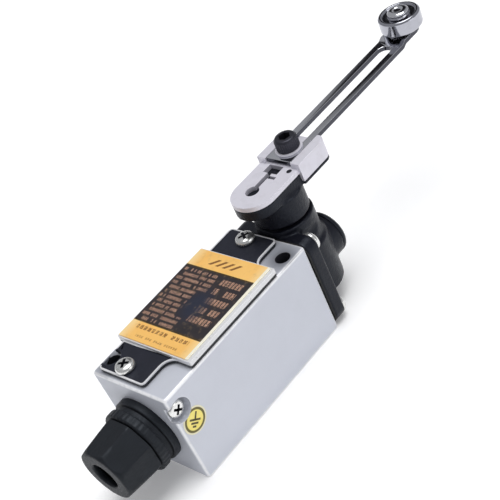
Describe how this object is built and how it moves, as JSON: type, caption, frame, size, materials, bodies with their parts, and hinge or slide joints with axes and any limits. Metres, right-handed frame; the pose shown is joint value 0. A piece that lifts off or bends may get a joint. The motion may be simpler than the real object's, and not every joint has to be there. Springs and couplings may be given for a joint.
{
  "type": "limit switch",
  "caption": "Compact metal-cased limit switch with a spring-return roller lever, an adjustable slotted arm, a rectangular body and a screw cable gland.",
  "frame": {"origin": "centre of the body's flat mounting face", "axes": "+Z out of the mounting face towards the front cover and along the lever shaft, +Y from the cable gland to the roller, +X to the side with the ground screw"},
  "size_m": [0.0281, 0.1567, 0.0523],
  "materials": {
    "housing_paint": "satin silver paint on die-cast alloy",
    "cover_paint": "satin silver paint with black end faces",
    "label": "printed foil with gold and black bands",
    "black_paint": "semi-gloss black paint on die-cast alloy",
    "plated_steel": "bright zinc plate",
    "dark_steel": "black oxide",
    "bright_steel": "ground",
    "bracket_steel": "satin nickel plate",
    "roller_steel": "polished, lightly worn",
    "chrome": "polished chrome plate",
    "spring_steel": "drawn wire",
    "sintered_steel": "oiled sintered steel",
    "bronze": "oil-filled bronze",
    "brass": "plain brass",
    "copper": "copper with silver contacts",
    "rubber": "matt black rubber",
    "gland_plastic": "black glass-filled nylon",
    "black_plastic": "black",
    "white_plastic": "white acetal",
    "phenolic": "brown phenolic",
    "sticker": "printed yellow sticker with an earth symbol"
  },
  "bodies": {
    "case": {"housing": "housing_paint", "cover_gasket": "rubber", "front_cover": "cover_paint", "label_plate": "label", "cover_screws": "plated_steel", "ground_screw": "plated_steel", "earth_sticker": "sticker", "switch_base": "phenolic", "switch_lid": "black_plastic", "base_screws": "brass", "fixed_contacts": "brass", "terminal_screws": "brass", "gland_body": "gland_plastic", "gland_oring": "rubber", "gland_grommet": "rubber", "gland_nut": "gland_plastic", "head_gasket": "rubber", "head_housing": "black_paint", "head_screws": "plated_steel", "head_cap": "black_paint", "return_spring": "spring_steel", "return_follower": "white_plastic", "shaft_bushing": "bronze", "shaft_seal": "rubber"},
    "plunger": {"head_plunger": "white_plastic", "plunger_spring": "spring_steel", "switch_slider": "white_plastic", "contact_bridge": "copper", "contact_spring": "spring_steel"},
    "lever": {"lever_shaft": "bright_steel", "cam": "sintered_steel", "lever_base": "black_paint", "lever_bracket": "bracket_steel", "locating_pin": "dark_steel", "arm_bolt": "dark_steel", "arm_washer": "plated_steel"},
    "arm": {"arm": "chrome", "roller_pin": "chrome", "pin_washer": "plated_steel"},
    "roller": {"roller": "roller_steel"}
  },
  "joints": [
    {"name": "lever_swing", "type": "hinge", "parent": "case", "child": "lever", "pos_m": [0, 0.0375, 0.03], "axis": [0, 0, 1], "range_deg": [-65, 65], "stiffness_Nm_per_rad": 0.15},
    {"name": "arm_slide", "type": "slide", "parent": "lever", "child": "arm", "axis": [0, 1, 0], "range_m": [-0.04, 0]},
    {"name": "roller_spin", "type": "hinge", "parent": "arm", "child": "roller", "pos_m": [0, 0.1035, 0.048], "axis": [0, 0, 1], "continuous": true},
    {"name": "plunger_slide", "type": "slide", "parent": "case", "child": "plunger", "axis": [0, -1, 0], "range_m": [0, 0.002], "stiffness_N_per_m": 800, "springref_m": -0.001, "deforming": ["plunger_spring"]}
  ]
}
